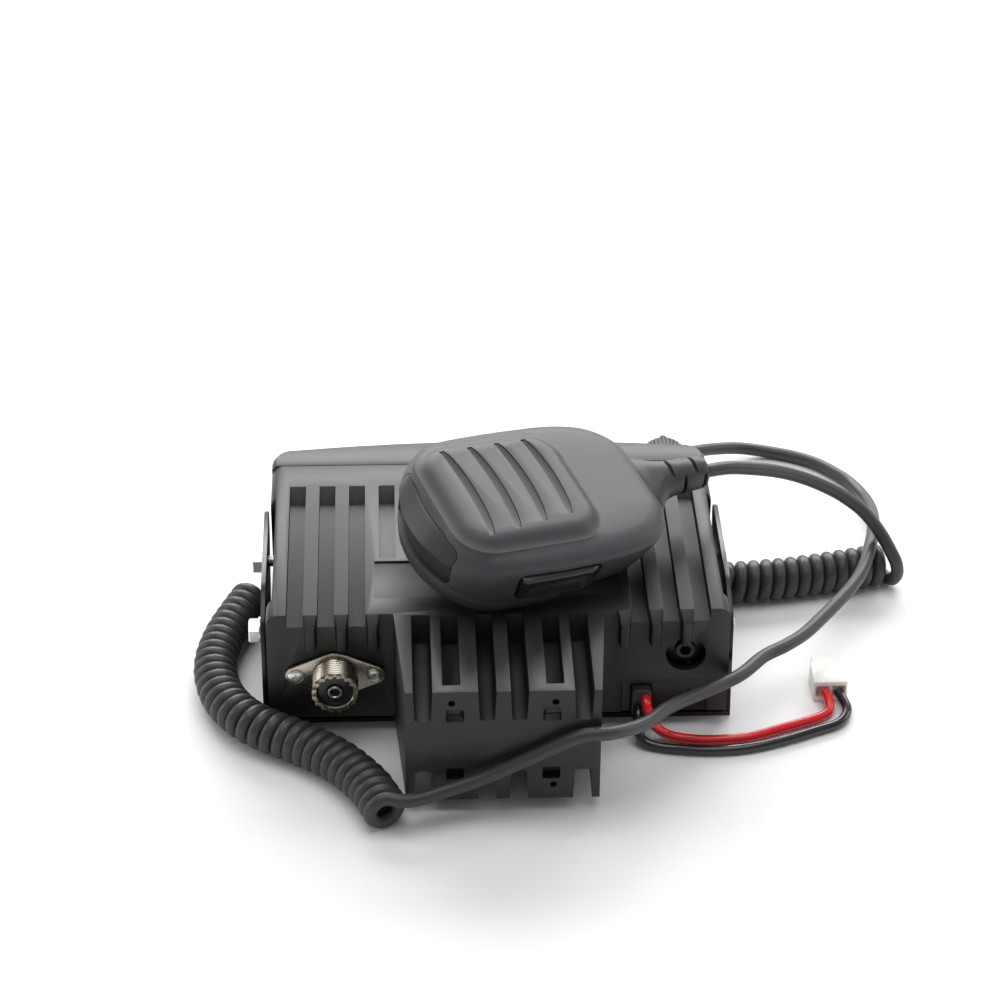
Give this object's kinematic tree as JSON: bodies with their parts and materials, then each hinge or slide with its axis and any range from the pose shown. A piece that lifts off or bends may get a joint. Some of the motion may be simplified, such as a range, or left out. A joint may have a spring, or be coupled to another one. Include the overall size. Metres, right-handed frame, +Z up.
{
  "type": "mobile transceiver",
  "caption": "Vehicle radio with ribbed cast body and rear heat sink, hand microphone lying on top, curly cord, supply lead and U bracket.",
  "frame": {"origin": "middle of the bracket base's underside, on the ground", "axes": "+X to the right as seen from the rear panel, +Y from the rear panel to the front panel, +Z up"},
  "size_m": [0.261, 0.2361, 0.0918],
  "materials": {
    "black_casting": "satin black paint on an aluminium casting",
    "black_plastic": "fine satin moulding",
    "dark_grey_plastic": "fine textured moulding",
    "smooth_grey_plastic": "smooth satin moulding",
    "cord_rubber": "satin rubber jacket",
    "black_steel": "black painted sheet steel",
    "nickel_plate": "satin nickel plate",
    "bright_zinc": "bright zinc plate",
    "black_insulator": "black moulded insulator",
    "green_board": "solder mask",
    "dark_window": "dark tinted window",
    "red_wire": "glossy red insulation",
    "black_wire": "glossy black insulation",
    "milky_connector": "milky translucent nylon"
  },
  "bodies": {
    "root": {"antenna_contact": "nickel_plate", "antenna_insulator": "black_insulator", "antenna_socket": "nickel_plate", "bottom_cover": "black_steel", "bracket": "black_steel", "bracket_bolt_left_1": "bright_zinc", "bracket_bolt_left_2": "bright_zinc", "bracket_bolt_right_1": "bright_zinc", "bracket_bolt_right_2": "bright_zinc", "chassis": "black_casting", "cord_left_coil": "cord_rubber", "cord_mic_tail": "cord_rubber", "cord_radio_tail": "cord_rubber", "cord_right_coil": "cord_rubber", "cord_under_radio": "cord_rubber", "cover_screw_1": "bright_zinc", "cover_screw_2": "bright_zinc", "cover_screw_3": "bright_zinc", "cover_screw_4": "bright_zinc", "dc_connector": "milky_connector", "dc_cover_plate": "black_steel", "dc_gland": "cord_rubber", "dc_wire_black": "black_wire", "dc_wire_red": "red_wire", "filter_can": "bright_zinc", "flange_screw_1": "nickel_plate", "flange_screw_2": "nickel_plate", "front_board": "green_board", "front_panel": "black_plastic", "hanger_stud": "bright_zinc", "lcd_module": "green_board", "lcd_window": "dark_window", "loudspeaker": "black_insulator", "main_board": "green_board", "mic_back_shell": "dark_grey_plastic", "mic_board": "green_board", "mic_boot": "cord_rubber", "mic_capsule": "bright_zinc", "mic_end_cap": "smooth_grey_plastic", "mic_front_shell": "dark_grey_plastic", "mic_jack": "black_insulator", "mic_plug": "black_plastic", "mic_screw_1": "bright_zinc", "mic_screw_2": "bright_zinc", "mic_screw_3": "bright_zinc", "ptt_switch": "black_insulator", "speaker_jack": "black_insulator"},
    "volume_knob": {"volume_knob": "black_plastic"},
    "power_key": {"power_key": "black_plastic"},
    "ptt_lever": {"ptt_lever": "black_plastic"},
    "key_1": {"key_1": "black_plastic"},
    "key_2": {"key_2": "black_plastic"},
    "key_3": {"key_3": "black_plastic"},
    "key_4": {"key_4": "black_plastic"},
    "key_5": {"key_5": "black_plastic"}
  },
  "joints": [
    {"name": "volume_turn", "type": "hinge", "parent": "root", "child": "volume_knob", "pos_m": [0.066, 0.07806, 0.038], "axis": [0, 1, 0], "range_deg": [-140, 140]},
    {"name": "key_1_press", "type": "slide", "parent": "root", "child": "key_1", "axis": [0, -1, 0], "range_m": [0, 0.0008], "stiffness_N_per_m": 600},
    {"name": "key_2_press", "type": "slide", "parent": "root", "child": "key_2", "axis": [0, -1, 0], "range_m": [0, 0.0008], "stiffness_N_per_m": 600},
    {"name": "key_3_press", "type": "slide", "parent": "root", "child": "key_3", "axis": [0, -1, 0], "range_m": [0, 0.0008], "stiffness_N_per_m": 600},
    {"name": "key_4_press", "type": "slide", "parent": "root", "child": "key_4", "axis": [0, -1, 0], "range_m": [0, 0.0008], "stiffness_N_per_m": 600},
    {"name": "key_5_press", "type": "slide", "parent": "root", "child": "key_5", "axis": [0, -1, 0], "range_m": [0, 0.0008], "stiffness_N_per_m": 600},
    {"name": "power_press", "type": "slide", "parent": "root", "child": "power_key", "axis": [0, -1, 0], "range_m": [0, 0.0008], "stiffness_N_per_m": 600},
    {"name": "ptt_press", "type": "hinge", "parent": "root", "child": "ptt_lever", "pos_m": [0.03212, -0.02327, 0.06209], "axis": [-0.1901, 0.1425, -0.9714], "range_deg": [0, 2.8], "stiffness_Nm_per_rad": 1.2}
  ]
}
